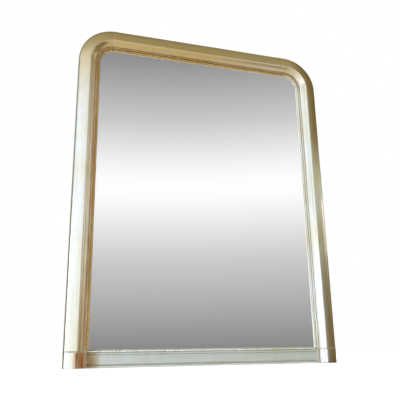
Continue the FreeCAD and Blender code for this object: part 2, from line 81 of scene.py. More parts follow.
def addNode(tree, kind, inputs=None, stops=None, **settings):
    # one node with its settings; an input takes a socket, a node (its first output in use), a plain value,
    # or for a colour its hex code or three linear parts
    node = tree.nodes.new("ShaderNode" + kind)
    for key, value in settings.items():
        setattr(node, key, value)
    for name, source in (inputs or {}).items():
        socket = node.inputs[name]
        if isinstance(source, bpy.types.Node):
            source = next(output for output in source.outputs if output.enabled)
        if isinstance(source, bpy.types.NodeSocket):
            tree.links.new(source, socket)
        elif socket.type == "RGBA":
            socket.default_value = hexColour(source) if isinstance(source, str) else list(source) + [1.0]
        else:
            socket.default_value = source
    if stops:
        elements = node.color_ramp.elements
        while len(elements) < len(stops):
            elements.new(0.5)
        for element, (place, colour) in zip(elements, stops):
            element.position = place
            element.color = hexColour(colour) if isinstance(colour, str) else [colour] * 3 + [1.0]
    return node


def newMaterial(name):
    # an empty material, the call that adds its nodes, and the object's own coordinates
    material = bpy.data.materials.new(name)
    material.use_nodes = True
    material.node_tree.nodes.clear()
    add = partial(addNode, material.node_tree)
    return material, add, add("TexCoord").outputs["Object"]


def dress(material, *names):
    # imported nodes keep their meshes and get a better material
    for name in names:
        for slot in nodes[name].material_slots:
            slot.material = material


def addPiece(name, material, slot, points, values=None, runMap=None, body="frame", loop=False, sharp=35):
    # points (rows, columns, 3) in metres: closed rings of points joined row to row, with flat ends unless the rows
    # close to a loop; turned so that the quads face outward. The piece stands for the node of the same name
    rows, columns = points.shape[:2]
    row = np.arange(rows if loop else rows - 1)[:, None] * columns
    column = np.arange(columns)[None]
    nextRow, nextColumn = (row + columns) % (rows * columns), (column + 1) % columns
    quads = np.stack([row + column, row + nextColumn, nextRow + nextColumn, nextRow + column], -1).reshape(-1, 4)
    caps = [] if loop else [np.arange(columns)[::-1], np.arange(columns) + (rows - 1) * columns]
    points = points.reshape(-1, 3)
    corners = points[quads]
    facing = np.cross(corners[:, 2] - corners[:, 0], corners[:, 3] - corners[:, 1])
    if np.einsum("ij,ij->", corners.mean(1) - points.mean(0), facing) < 0:
        quads = quads[:, ::-1]
        caps = [cap[::-1] for cap in caps]
    mesh = bpy.data.meshes.new(name)
    mesh.from_pydata(points.tolist(), [], quads.tolist() + [cap.tolist() for cap in caps])
    for key, value in (values or {}).items():
        spread = np.broadcast_to(value, (rows, columns)).astype(np.float32)
        mesh.attributes.new(key, "FLOAT", "POINT").data.foreach_set("value", spread.ravel())
    if runMap:
        along, across = runMap  # metres of each row and of each column
        spread = np.stack(np.broadcast_arrays(along[:, None], across[None]), -1).reshape(-1, 2)
        vertex = np.empty(len(mesh.loops), np.int32)
        mesh.loops.foreach_get("vertex_index", vertex)
        layer = mesh.uv_layers.new(name="run")
        layer.data.foreach_set("uv", spread[vertex].astype(np.float32).ravel())
    mesh.polygons.foreach_set("use_smooth", np.ones(len(mesh.polygons), bool))
    mesh.set_sharp_from_angle(angle=math.radians(sharp))
    mesh.materials.append(material)
    piece = bpy.data.objects.new(name, mesh)
    scene.collection.objects.link(piece)
    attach(piece, body)
    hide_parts(name)


# finishes


# Water-gilt leaf of pale gold over bole and gesso, toned and varnished: a soft silvery cream where it faces the
# window, warm brown where it turns away, partly painted shade in the deeper gold; brown dirt, which also paints
# shade, in the hollows; orange and brown bole on worn places.
# Sizes are in millimetres
gilding = {
    "leaf": "#E5E2D8", "warmLeaf": "#DED5BC", "goldAndShade": "#C9AE72", "toning": "#B49F6E", "dirt": "#9C6C1E",
    "gesso": "#EFE3C8", "bole": "#FFA24A", "deepBole": "#BC6A28", "paleBole": "#FFD49A", "side": "#78642C",
    "leafSize": 80, "cloud": 200, "mottle": 34, "streakLong": 260, "streakAcross": 7, "grain": 2.2,
    "metal": 0.55, "roughness": 0.30, "bareRoughness": 0.62, "coat": 0.25, "coatRoughness": 0.16,
}


def gildedLeaf(name, look):
    material, add, place = newMaterial(name)
    run = add("UVMap", uv_map="run")  # metres along and across the run
    hollow, side, wear, goldAndShade = [add("Attribute", attribute_name=key).outputs["Fac"]
                                for key in ("hollow", "side", "wear", "goldAndShade")]
    # broad clouds of paler and warmer leaf
    cloud = add("TexNoise", {"Vector": place, "Scale": 1000 / look["cloud"], "Detail": 3.0})
    clouded = add("MapRange", {"Value": cloud, "From Min": 0.38, "From Max": 0.64})
    # mottle the size of a thumb
    mottle = add("TexNoise", {"Vector": place, "Scale": 1000 / look["mottle"], "Detail": 1.0})
    mottled = add("MapRange", {"Value": mottle, "From Min": 0.45, "From Max": 0.8, "To Max": 0.12})
    # toning varnish brushed along the run
    brush = add("Mapping", {"Vector": run, "Scale": (1000 / look["streakLong"], 1000 / look["streakAcross"], 1)})
    streak = add("TexNoise", {"Vector": brush, "Scale": 1.0, "Detail": 1.5})
    streaked = add("MapRange", {"Value": streak, "From Min": 0.5, "From Max": 0.78, "To Max": 0.26})
    # laps of the leaves, one every leaf along the run
    along = add("SeparateXYZ", {"Vector": run}).outputs["X"]
    leaves = add("Math", {0: along, 1: 1000 / look["leafSize"]}, operation="MULTIPLY")
    lapShare = add("Math", {0: leaves}, operation="FRACT")
    lap = add("ValToRGB", {"Fac": lapShare}, [(0.0, 1.0), (0.035, 0.9), (0.05, 0.0), (1.0, 0.0)])
    lapped = add("Math", {0: lap, 1: 0.14}, operation="MULTIPLY")
    # dirt and painted shade in the hollows, uneven, and rubbed arrises where hollow is below zero
    dirtAndShadeBreak = add("MapRange", {"Value": mottle, "From Min": 0.3, "From Max": 0.7, "To Min": 0.75, "To Max": 1.15})
    dirtAndShade = add("Math", {0: hollow, 1: dirtAndShadeBreak}, operation="MULTIPLY", use_clamp=True)
    rubbed = add("Math", {0: hollow, 1: -0.45}, operation="MULTIPLY", use_clamp=True)
    # bole where the leaf is gone, in upright streaks 10 mm wide and 140 mm long, from deep brown through orange to
    # pale, with some gesso; chipped rims where wear is below zero
    flowMap = add("Mapping", {"Vector": place, "Scale": (95, 95, 7)})
    flow = add("TexNoise", {"Vector": flowMap, "Scale": 1.0, "Detail": 2.0})
    boleTone = add("ValToRGB", {"Fac": flow}, [(0.40, look["deepBole"]), (0.47, look["bole"]),
                                               (0.54, look["paleBole"]), (0.62, look["gesso"])])
    worn = add("Math", {0: wear, 1: 1.0}, operation="MULTIPLY", use_clamp=True)
    chipped = add("Math", {0: wear, 1: -1.0}, operation="MULTIPLY", use_clamp=True)
    # brown ochre paint down the sides and on the back
    sideTone = add("Mix", {"Factor": mottled, "A": look["side"], "B": look["dirt"]}, data_type="RGBA")
    # each layer lies over those before it; deeper gold is partly varnish left thick and partly painted shade
    colour = look["leaf"]
    for share, tone in ((clouded, look["warmLeaf"]), (goldAndShade, look["goldAndShade"]), (mottled, look["toning"]),
                        (streaked, look["toning"]), (lapped, look["warmLeaf"]), (dirtAndShade, look["dirt"]),
                        (rubbed, look["gesso"]), (worn, boleTone), (chipped, look["gesso"]), (side, sideTone)):
        colour = add("Mix", {"Factor": share, "A": colour, "B": tone}, data_type="RGBA")
    # paint, bare places, dirt and painted shade have no metal and are rougher
    dull = side
    for share in (worn, chipped, dirtAndShade):
        dull = add("Math", {0: dull, 1: share}, operation="MAXIMUM")
    metal = add("MapRange", {"Value": dull, "To Min": look["metal"], "To Max": 0.0})
    leafRough = add("MapRange", {"Value": mottle, "From Min": 0.3, "From Max": 0.7,
                                 "To Min": look["roughness"] - 0.02, "To Max": look["roughness"] + 0.03})
    rough = add("Mix", {"Factor": dull, "A": leafRough, "B": look["bareRoughness"]})
    grain = add("TexNoise", {"Vector": place, "Scale": 1000 / look["grain"], "Detail": 3.0})
    bump = add("Bump", {"Height": grain, "Strength": 0.08, "Distance": 0.4 * mm})
    surface = add("BsdfPrincipled", {"Base Color": colour, "Metallic": metal, "Roughness": rough, "Normal": bump,
                                     "Coat Weight": look["coat"], "Coat Roughness": look["coatRoughness"]})
    add("OutputMaterial", {"Surface": surface})
    return material


mouldingGilt = gildedLeaf("pale_gold_leaf_on_gesso", gilding)
beadGilt = gildedLeaf("pale_gold_leaf_on_beads", dict(
    gilding, leaf="#ECEBE0", warmLeaf="#E2DBC2", goldAndShade="#CFA650", dirt="#6E5426", roughness=0.34, metal=0.95))
# the bottom rail's leaf is paler and cooler: painted light, where the window light falls on it
railGilt = gildedLeaf("pale_gold_leaf_painted_lit", dict(
    gilding, leaf="#E1E8E5", warmLeaf="#D9DED4", toning="#B9B292"))
print("gilding made")


# Aged pine, sawn and left bare at the back: honey brown gone grey with dust, dark latewood lines and knots.
# Scales are in waves to the metre: figure every 70 mm, fibre every 1.1 mm, a knot every 320 mm, dust every 140 mm
pine = {
    "early": "#B08A5A", "late": "#7F5730", "dust": "#8E7B62", "knot": "#4A2E17",
    "figure": 14.0, "stretch": 26, "lines": 28.2857, "fibre": 900, "knots": 3.1, "dustClouds": 7.0,
    "tones": (0.96, 1.08, 0.9, 1.02, 0.86, 1.05, 0.94),  # brightness of the seven boards
}


def agedPine(name, look, grainAlong, seed, tone=1.0):
    material, add, place = newMaterial(name)
    squeeze = [1.0, 1.0, 1.0]
    squeeze["XYZ".index(grainAlong)] = 1 / look["stretch"]
    moved = add("Mapping", {"Vector": place, "Location": (seed * 1.37, seed * 0.71, seed * 2.13), "Scale": squeeze})
    # latewood lines: contours of a stretched noise
    figure = add("TexNoise", {"Vector": moved, "Scale": look["figure"], "Detail": 2.0})
    ringPlace = add("Math", {0: figure, 1: look["lines"]}, operation="MULTIPLY")
    ringShare = add("Math", {0: ringPlace}, operation="FRACT")
    rings = add("ValToRGB", {"Fac": ringShare}, [(0.0, look["early"]), (0.62, look["early"]),
                                                 (0.9, look["late"]), (1.0, look["early"])])
    fibreMap = add("VectorMath", {0: moved, 1: [look["fibre"]] * 3}, operation="MULTIPLY")
    fibre = add("TexNoise", {"Vector": fibreMap, "Scale": 1.0, "Detail": 3.0})
    fibreFac = add("MapRange", {"Value": fibre, "From Min": 0.35, "From Max": 0.75, "To Max": 0.5})
    knotMap = add("Mapping", {"Vector": place, "Location": (seed * 0.31, 0.0, seed * 0.57)})
    knot = add("TexVoronoi", {"Vector": knotMap, "Scale": look["knots"], "Randomness": 1.0})
    knotFac = add("MapRange", {"Value": knot, "From Min": 0.025, "From Max": 0.06, "To Min": 0.85, "To Max": 0.0})
    dust = add("TexNoise", {"Vector": place, "Scale": look["dustClouds"], "Detail": 6.0, "Roughness": 0.65})
    dustFac = add("MapRange", {"Value": dust, "From Min": 0.42, "From Max": 0.72, "To Max": 0.6})
    colour = rings
    for share, over in ((fibreFac, look["late"]), (knotFac, look["knot"]), (dustFac, look["dust"])):
        colour = add("Mix", {"Factor": share, "A": colour, "B": over}, data_type="RGBA")
    shade = add("HueSaturation", {"Color": colour, "Value": tone})
    bump = add("Bump", {"Height": fibre, "Strength": 0.35, "Distance": 0.5 * mm})
    surface = add("BsdfPrincipled", {"Base Color": shade, "Roughness": 0.78, "Normal": bump})
    add("OutputMaterial", {"Surface": surface})
    return material


dress(agedPine("aged_pine_sawn_upright", pine, "Z", 1),
      "left_back_stile", "right_back_stile", "left_wall_batten", "right_wall_batten")
dress(agedPine("aged_pine_sawn_across", pine, "X", 2),
      "top_back_rail", "bottom_back_rail", "top_wall_batten", "bottom_wall_batten")
for number, tone in enumerate(pine["tones"], 1):
    dress(agedPine(f"aged_pine_board_{number}", pine, "X", 3 + number, tone), f"backboard_{number}")


# Beech, cleft and scraped: close pinkish tan with short dark flecks, their size in millimetres
beech = {"wood": "#B98F62", "fleck": "#7C5633", "fleckLong": 3.0, "fleckWide": 0.7}


def scrapedBeech(name, look):
    material, add, place = newMaterial(name)
    long, wide = 1000 / look["fleckLong"], 1000 / look["fleckWide"]
    fleckMap = add("Mapping", {"Vector": place, "Scale": (long, wide, wide)})
    fleck = add("TexNoise", {"Vector": fleckMap, "Scale": 1.0, "Detail": 3.0})
    tone = add("ValToRGB", {"Fac": fleck}, [(0.35, look["fleck"]), (0.58, look["wood"])])
    bump = add("Bump", {"Height": fleck, "Strength": 0.2, "Distance": 0.2 * mm})
    surface = add("BsdfPrincipled", {"Base Color": tone, "Roughness": 0.6, "Normal": bump})
    add("OutputMaterial", {"Surface": surface})
    return material


dress(scrapedBeech("scraped_beech", beech), "setting_blocks", "glass_blocks", "lap_pegs", "moulding_dowels")


# Iron: forged black with brown rust on the straps and rings, dull grey steel on screws and nails; spots in mm
forged = {"tone": "#2B2826", "stain": "#6B3F22", "spot": 5.0, "metal": 0.8, "roughness": 0.5}
steel = {"tone": "#8D8A84", "stain": "#5C4A38", "spot": 5.0, "metal": 0.9, "roughness": 0.42}


def oldIron(name, look):
    material, add, place = newMaterial(name)
    spot = add("TexNoise", {"Vector": place, "Scale": 1000 / look["spot"], "Detail": 6.0})
    spotFac = add("MapRange", {"Value": spot, "From Min": 0.46, "From Max": 0.66})
    colour = add("Mix", {"Factor": spotFac, "A": look["tone"], "B": look["stain"]}, data_type="RGBA")
    metal = add("MapRange", {"Value": spotFac, "To Min": look["metal"], "To Max": 0.1})
    rough = add("MapRange", {"Value": spotFac, "To Min": look["roughness"], "To Max": 0.85})
    bump = add("Bump", {"Height": spot, "Strength": 0.3, "Distance": 0.3 * mm})
    surface = add("BsdfPrincipled", {"Base Color": colour, "Metallic": metal, "Roughness": rough, "Normal": bump})
    add("OutputMaterial", {"Surface": surface})
    return material


blackIron = oldIron("forged_black_iron", forged)
dress(blackIron, "left_hanger_strap", "right_hanger_strap")
dress(oldIron("dulled_steel", steel),
      "moulding_screws", "bottom_rail_screws", "board_nails", "batten_nails", "hanger_screws")


# Silvered plate glass: a clear neutral mirror, with a few dull specks in the silver near the edges; sizes in mm
plate = {"silver": "#FBFBFB", "speck": "#8B8778", "speckSize": 5.0, "edgeBand": 14}


def silveredGlass(name, look):
    material, add, place = newMaterial(name)
    # gap to the nearest sight edge
    spot = add("SeparateXYZ", {"Vector": place}).outputs
    across = add("Math", {0: spot["X"]}, operation="ABSOLUTE")
    up = add("Math", {0: spot["Z"], 1: (sightBottom + sightTop) / 2}, operation="SUBTRACT")
    upSize = add("Math", {0: up}, operation="ABSOLUTE")
    sideGap = add("Math", {0: sightHalf, 1: across}, operation="SUBTRACT")
    endGap = add("Math", {0: (sightTop - sightBottom) / 2, 1: upSize}, operation="SUBTRACT")
    gap = add("Math", {0: sideGap, 1: endGap}, operation="MINIMUM")
    near = add("MapRange", {"Value": gap, "From Min": 0.0, "From Max": look["edgeBand"] * mm,
                            "To Min": 1.0, "To Max": 0.0})
    speck = add("TexNoise", {"Vector": place, "Scale": 1000 / look["speckSize"], "Detail": 4.0})
    speckFac = add("MapRange", {"Value": speck, "From Min": 0.60, "From Max": 0.70, "To Max": 0.5})
    fox = add("Math", {0: near, 1: speckFac}, operation="MULTIPLY")
    colour = add("Mix", {"Factor": fox, "A": look["silver"], "B": look["speck"]}, data_type="RGBA")
    rough = add("MapRange", {"Value": fox, "To Min": 0.0, "To Max": 0.25})
    surface = add("BsdfPrincipled", {"Base Color": colour, "Metallic": 1.0, "Roughness": rough})
    add("OutputMaterial", {"Surface": surface})
    return material


dress(silveredGlass("silvered_plate_glass", plate), "mirror_glass")


# Grey protective paint brushed over the silver: flat, streaky every few millimetres, a little scuffed
backPaint = {"paint": "#6E6A66", "scuff": "#8B857C", "streak": 6.0}


def brushedPaint(name, look):
    material, add, place = newMaterial(name)
    streakMap = add("Mapping", {"Vector": place, "Scale": (1000 / look["streak"], 1, 5)})
    streak = add("TexNoise", {"Vector": streakMap, "Scale": 1.0, "Detail": 4.0})
    tone = add("ValToRGB", {"Fac": streak}, [(0.4, look["paint"]), (0.75, look["scuff"])])
    surface = add("BsdfPrincipled", {"Base Color": tone, "Roughness": 0.7})
    add("OutputMaterial", {"Surface": surface})
    return material


dress(brushedPaint("protective_paint_on_silver", backPaint), "silvering")
print("wood, iron and glass made")


# sections of the mouldings, in millimetres out from the sight edge and forward of the glass


moulding = {
    "width": 91.0, "side": 7.0, "lip": (1.6, 4.4), "channel": (10.8, 3.0), "columns": 120,
    "fillet": (16.8, 8.6), "filletRise": 0.35, "filletRound": 1.0, "filletSteps": 12, "grooveDepth": 2.2,
    "coveFrom": (18.8, 9.5), "coveAngles": (15, 72), "coveRadius": 23.0, "coveSteps": 40,
    "crownRadius": 9.0, "crownSteps": 44,
    "flankAngle": 9.0, "flankShare": 0.80, "shoulderShare": 0.95, "flankSteps": 80,
}
# step of the walk along an outline, the blur that eases its arrises, the blur that finds its hollows and the longest
# step between columns, all in mm; and the most that the outline turns between columns, in degrees
easing = {"step": 0.2, "soft": 0.45, "broad": 2.5, "longest": 9.0, "bend": 16}


def ramp(values, start, length):
    # nought up to start, then rising evenly to one over length; with a negative length it falls to nought at start
    return np.clip((values - start) / length, 0, 1)


def sectionArc(centre, radius, angles, count):
    # points of an arc whose running direction turns through the angles; a negative radius is a hollow
    turn = np.radians(np.linspace(angles[0], angles[1], count))
    return np.stack([centre[0] - np.sin(turn) * radius, centre[1] + np.cos(turn) * radius], 1)


def threePointArc(a, middle, b, count):
    # circle through an arc's two ends and its middle, the ends level with each other
    half = (b[0] - a[0]) / 2
    rise = middle[1] - a[1]
    radius = (half * half + rise * rise) / (2 * rise)
    swing = math.asin(min(1.0, half / radius))
    turn = np.linspace(-swing, swing, count)
    return np.stack([middle[0] + radius * np.sin(turn), middle[1] - radius + radius * np.cos(turn)], 1)


def ogeePoints(look, step):
    # cove, crown and a flank that falls slowly to a tight shoulder, all standing forward by step; the flank is a
    # cubic curve of four poles
    first, last = np.radians(look["coveAngles"])
    cove = np.array(look["coveFrom"]) + np.array([-math.sin(first), math.cos(first)]) * look["coveRadius"]
    crown = cove - np.array([-math.sin(last), math.cos(last)]) * (look["coveRadius"] + look["crownRadius"])
    hollow = sectionArc(cove, -(look["coveRadius"] - step), look["coveAngles"], look["coveSteps"])
    top = sectionArc(crown, look["crownRadius"] + step, (look["coveAngles"][1], -look["flankAngle"]),
                     look["crownSteps"])
    start = top[-1]
    end = np.array([look["width"] + step, look["side"]])
    run = (end[0] - start[0]) * look["flankShare"]
    reach = start + run * np.array([1.0, -math.tan(math.radians(look["flankAngle"]))])
    shoulder = end + [0, (reach[1] - end[1]) * look["shoulderShare"]]
    t = np.linspace(0, 1, look["flankSteps"])[:, None]
    flank = (1 - t) ** 3 * start + 3 * t * (1 - t) ** 2 * reach + 3 * t * t * (1 - t) * shoulder + t ** 3 * end
    return np.concatenate([hollow, top[1:], flank[1:]])


def filletPoints(look, start, step):
    # rounded fillet from start, then the fine groove
    end, height = look["fillet"][0], look["fillet"][1] + step
    middle = ((start + end) / 2, height + look["filletRise"])
    arc = threePointArc((start, height), middle, (end, height), look["filletSteps"])
    floor = height - look["grooveDepth"]
    return np.concatenate([arc, [[end, floor]]]), floor


def sightPoints(look):
    # lip beside the glass and the channel of the beads
    lip, channel = look["lip"], look["channel"]
    return np.array([[0, 0], [0, lip[1]], lip, [lip[0], channel[1]], channel])


def mouldingOutline(look):
    # sight edge, fillet and groove, ogee, and down the side to the line of the glass
    fillet, floor = filletPoints(look, look["channel"][0], 0)
    return np.concatenate([sightPoints(look), fillet, [[look["coveFrom"][0], floor]], ogeePoints(look, 0),
                           [[look["width"], 0]]])


def evenWalk(loop, count=None, step=1.0):
    # a closed loop of points walked in equal steps: the places along it and the points there
    closed = np.concatenate([loop, loop[:1]])
    length = np.concatenate([[0], np.cumsum(np.hypot(*np.diff(closed, axis=0).T))])
    walk = np.linspace(0, length[-1], count or int(length[-1] / step), endpoint=False)
    return walk, np.stack([np.interp(walk, length, closed[:, k]) for k in (0, 1)], 1)


def headings(loop):
    # unit directions along a closed loop of points
    ahead = np.roll(loop, -1, 0) - np.roll(loop, 1, 0)
    return ahead / np.hypot(*ahead.T)[:, None]


def softSection(outline, columns):
    # walks the closed outline, blurs it so that every arris is eased, and picks columns of points, closer where it
    # bends; hollow is how far a point lies under the same outline blurred more broadly
    walk, points = evenWalk(outline, step=easing["step"])
    wave = np.fft.fftfreq(len(walk), walk[1])

    def blurred(width):
        waves = np.fft.fft(points, axis=0) * np.exp(-2 * (np.pi * width * wave) ** 2)[:, None]
        return np.fft.ifft(waves, axis=0).real

    eased, broad = blurred(easing["soft"]), blurred(easing["broad"])
    ahead = headings(eased)
    outward = np.stack([-ahead[:, 1], ahead[:, 0]], 1)
    hollow = np.einsum("ij,ij->i", broad - eased, outward)
    bend = np.abs(np.einsum("ij,ij->i", np.roll(outward, -1, 0) - outward, ahead))
    pace = np.cumsum(easing["step"] / easing["longest"] + bend / math.radians(easing["bend"]))
    pick = np.searchsorted(pace, np.linspace(pace[0], pace[-1], columns, endpoint=False))
    return {"points": eased[pick], "outward": outward[pick], "hollow": hollow[pick], "across": walk[pick]}


mouldingSection = softSection(mouldingOutline(moulding), moulding["columns"])
roundSection = softSection(mouldingOutline(dict(moulding, filletRise=moulding["filletRound"])), moulding["columns"])


# a section carried along a path, and where dirt, wear and paint lie on it

# in mm: wave is the unevenness of hand-run gesso, rubbed is where that wear ends and how long it fades, fillet is
# the two edges of the painted shade on the fillet; deep is the hollow that holds full dirt, arris the least share of
# it
finish = {
    "wave": 0.10, "flatBack": 2.0, "paint": 5.0, "paintFade": 2.0, "back": 0.6,
    "rubbed": (23.0, -3.0), "rubbedFront": 2.0, "fillet": (10.0, 18.6), "filletFront": 4.0, "filletShade": 0.5,
    "deep": 0.9, "arris": -0.3,
}


def sightLine(x, z):
    # points level with the front of the glass
    return np.stack(np.broadcast_arrays(x, glassY, z), -1)


def ringsOf(section, origins, outs, lift=0.0):
    # the section stood at each origin: out runs along outs, front towards the viewer, lift moves along its normals
    shape = section["points"][None] + section["outward"][None] * np.asarray(lift)
    front = np.array([0.0, -1.0, 0.0])
    return origins[:, None] + mm * (shape[..., :1] * outs[:, None] + shape[..., 1:] * front)


def handWave(x, z):
    # slow unevenness in mm, a sum of three sines of place, never above zero
    sines = np.sin(21 * x + 13 * z) + np.sin(31 * z - 11 * x + 1.3) + np.sin(9 * z + 17 * x + 0.4)
    return finish["wave"] * (sines - 3)


def hollowDirt(section):
    # one in deep hollows, nought on plain faces, below it on arrises
    return np.clip(section["hollow"] / finish["deep"], finish["arris"], 1)


def carried(section, origins, outs, along, lift=0.0, grimeAndShade=1.0, goldAndShade=1.0, rubbed=0.0, paint=finish["paint"], **own):
    # profile carried along a path, with what its finish needs; own are attributes that the piece sets itself
    out, front = section["points"].T
    flat = ringsOf(section, origins, outs)
    uneven = handWave(flat[..., 0], flat[..., 2]) * ramp(front, 0, finish["flatBack"])
    points = ringsOf(section, origins, outs, (uneven + lift)[..., None])
    # dirt in the hollows; the fillet gets painted shade, where the crown keeps the light off it; the piece's share
    # scales both
    dirt = hollowDirt(section)
    onFillet = (out > finish["fillet"][0]) & (out < finish["fillet"][1]) & (front > finish["filletFront"])
    dirt = np.where(dirt > finish["arris"], np.maximum(dirt, finish["filletShade"] * onFillet), dirt)
    # paint covers the back and comes round the outer edge
    edge = ramp(out, moulding["width"] - paint, finish["paintFade"])
    values = {
        "hollow": dirt * grimeAndShade, "side": np.maximum(edge, front < finish["back"]),
        "wear": ramp(out, *finish["rubbed"]) * (front > finish["rubbedFront"]) * rubbed, "goldAndShade": goldAndShade,
    }
    return points, dict(values, **own), (along, section["across"] * mm)


# stiles; pairs are where a change starts and how long it takes, in mm across the section or metres up
stile = {
    "rows": 61, "footOut": 5.0,
    # the left stile carries more dark in its hollows: painted shade, as its inner half turns from the light
    "left": {"grimeAndShade": 0.7, "rubbed": 0.35, "paint": 5.0}, "right": {"grimeAndShade": 0.08, "rubbed": 0.0, "paint": 8.0},
    # deeper gold as painted shade: towards the top, on the flank, on the shoulder, inside; and a paler middle as
    # painted light
    "top": 0.34, "topPower": 1.5, "flank": (42.0, 22.0), "shoulder": (66.0, 8.0), "inside": (20.0, -2.0),
    "middle": 0.62, "middleSpread": 0.28,
    "leftGold": {"cove": 0.35, "middle": 0.5, "inside": 0.9, "top": 0.75},
    "rightGold": {"flank": 0.95, "middle": 0.5, "middleShoulder": 0.4, "top": 0.05},
    # the right fillet is worn down towards the glass about a line along it, fading out at its edges and ends
    "worn": {"from": (10.6, 0.8), "to": (17.2, -0.6), "front": (6.5, 1.5), "line": 13.8, "slope": 0.3,
             "top": -0.06, "foot": 0.02},
}


def stileGoldAndShade(section, side, heights):
    # painted light and shade: the left stile is pale outside, where the light falls, and warmer inside, where it
    # turns away; the right one pale inside and brown outside; both grow golden towards the top, where less light
    # reaches, and the right flank has a painted highlight half way up
    out = section["points"][None, :, 0]
    flank = ramp(out, *stile["flank"])
    high = ramp(heights, cornerZ - stile["top"], stile["top"])[:, None] ** stile["topPower"]
    middle = np.exp(-((heights - stile["middle"]) / stile["middleSpread"]) ** 2)[:, None]
    look = stile[side + "Gold"]
    if side == "left":
        cove = look["cove"] * (1 - flank) * (1 - look["middle"] * middle)
        return np.maximum(np.maximum(cove, look["inside"] * ramp(out, *stile["inside"])), look["top"] * high)
    paintedLight = (look["middle"] + look["middleShoulder"] * ramp(out, *stile["shoulder"])) * middle
    return np.maximum(flank * np.maximum(look["flank"] - paintedLight, high), look["top"] * high)


def straightStile(side, sign):
    # the section carried straight up from the plinth to the corner
    worn = stile["worn"]
    heights = np.linspace(plinthTop, cornerZ, stile["rows"])
    along = heights - plinthTop
    section = mouldingSection if side == "left" else roundSection  # the left fillet is rubbed flat
    out, front = section["points"].T
    onFillet = ramp(out, *worn["from"]) * ramp(out, *worn["to"]) * ramp(front, *worn["front"])
    ends = ramp(heights, cornerZ, worn["top"]) * ramp(heights, plinthTop, worn["foot"])
    lift = ends[:, None] * worn["slope"] * (out - worn["line"]) * onFillet * (side == "right")
    points, values, runMap = carried(
        section, sightLine(sign * sightHalf, heights), np.array([[sign, 0, 0]]),
        along if side == "left" else 2 * halfRun - along, lift, goldAndShade=stileGoldAndShade(section, side, heights), **stile[side])
    points[0, out < stile["footOut"], 2] = sightBottom  # the sight edge stops on the bottom rail
    addPiece(f"{side}_stile_moulding", mouldingGilt, "gilded_moulding", points, values, runMap)


# corners; pairs of paint and gold are the value at the stile and its change for each radian of the turn; the
# gold and the dark in the hollows carry on the stiles' painted shade
corner = {
    "rows": 41, "grimeAndShade": 0.4, "insideTo": 20.0, "insideGold": 0.9, "flank": (42.0, 18.0),
    "left": {"rubbed": 0.25, "paint": (5.0, 0.0), "goldAndShade": (0.75, 0.15)},
    "right": {"rubbed": 0.0, "paint": (8.0, -2.0), "goldAndShade": (0.05, 0.45)},
}


def cornerOuts(sign, turn):
    # directions away from a corner's centre, from level at the stile to upright at the top rail
    return np.stack([sign * np.cos(turn), np.zeros(len(turn)), np.sin(turn)], 1)


def turnedCorner(side, sign):
    # the section carried a quarter turn round the corner's centre
    look = corner[side]
    turn = np.linspace(0, quarter, corner["rows"])
    outs = cornerOuts(sign, turn)
    along = stileLength + cornerRadius * turn
    out = mouldingSection["points"][:, 0]
    deeper = corner["insideGold"] * (out < corner["insideTo"]) if side == "left" else ramp(out, *corner["flank"])
    paint, goldAndShade = [look[key][0] + look[key][1] * turn[:, None] for key in ("paint", "goldAndShade")]
    addPiece(f"top_{side}_corner_moulding", mouldingGilt, "gilded_moulding", *carried(
        mouldingSection, sightLine(sign * cornerX, cornerZ) + cornerRadius * outs, outs,
        along if side == "left" else 2 * halfRun - along, grimeAndShade=corner["grimeAndShade"], rubbed=look["rubbed"], paint=paint,
        goldAndShade=np.minimum(np.maximum(goldAndShade, deeper), 1.0)))


for side, sign in sides.items():
    straightStile(side, sign)
for side, sign in sides.items():
    turnedCorner(side, sign)

# top rail: its deeper gold is painted shade, deepest on the left and paler towards the right, where more light falls,
# and on the flank
topRail = {"rows": 43, "grimeAndShade": 0.4, "rubbed": 0.12, "paintedLight": 0.45, "flank": (42.0, 12.0)}
spots = np.linspace(-cornerX, cornerX, topRail["rows"])
paintedLight = 1.0 - topRail["paintedLight"] * np.maximum(spots, 0)[:, None] / cornerX  # towards the right
addPiece("top_rail_moulding", mouldingGilt, "gilded_moulding", *carried(
    mouldingSection, sightLine(spots, sightTop), np.array([[0, 0, 1]]), halfRun + spots, grimeAndShade=topRail["grimeAndShade"],
    rubbed=topRail["rubbed"], goldAndShade=np.maximum(paintedLight, ramp(mouldingSection["points"][:, 0], *topRail["flank"]))))
print("ogee mouldings made")


# bottom rail, in mm; beside the worn plinth a painted brown shadow that it casts on the rail, its width in metres,
# with rows closer there
bottomRail = {
    "height": 64.5, "field": 9.0, "footBead": 10.5, "footRise": 4.5, "footSteps": 30, "under": 0.5, "columns": 110,
    "closeRows": 9, "closeTo": 0.06, "rows": 40, "dirt": 0.4, "plinthShadow": 0.05, "plinthShadowDark": 0.75, "plinthShadowGold": 0.7,
}


def bottomOutline(look, rail):
    # the sight edge of the moulding, then a flat field and a rounded foot
    fillet, floor = filletPoints(look, look["channel"][0], 0)
    top, field = rail["height"] - rail["footBead"], rail["field"]
    middle = (top + rail["footBead"] / 2, field + rail["footRise"])
    foot = threePointArc((top, field), middle, (rail["height"], field), rail["footSteps"])
    start = look["coveFrom"][0]
    return np.concatenate([sightPoints(look), fillet, [[start, floor], [start, field]], foot, [[rail["height"], 0]]])


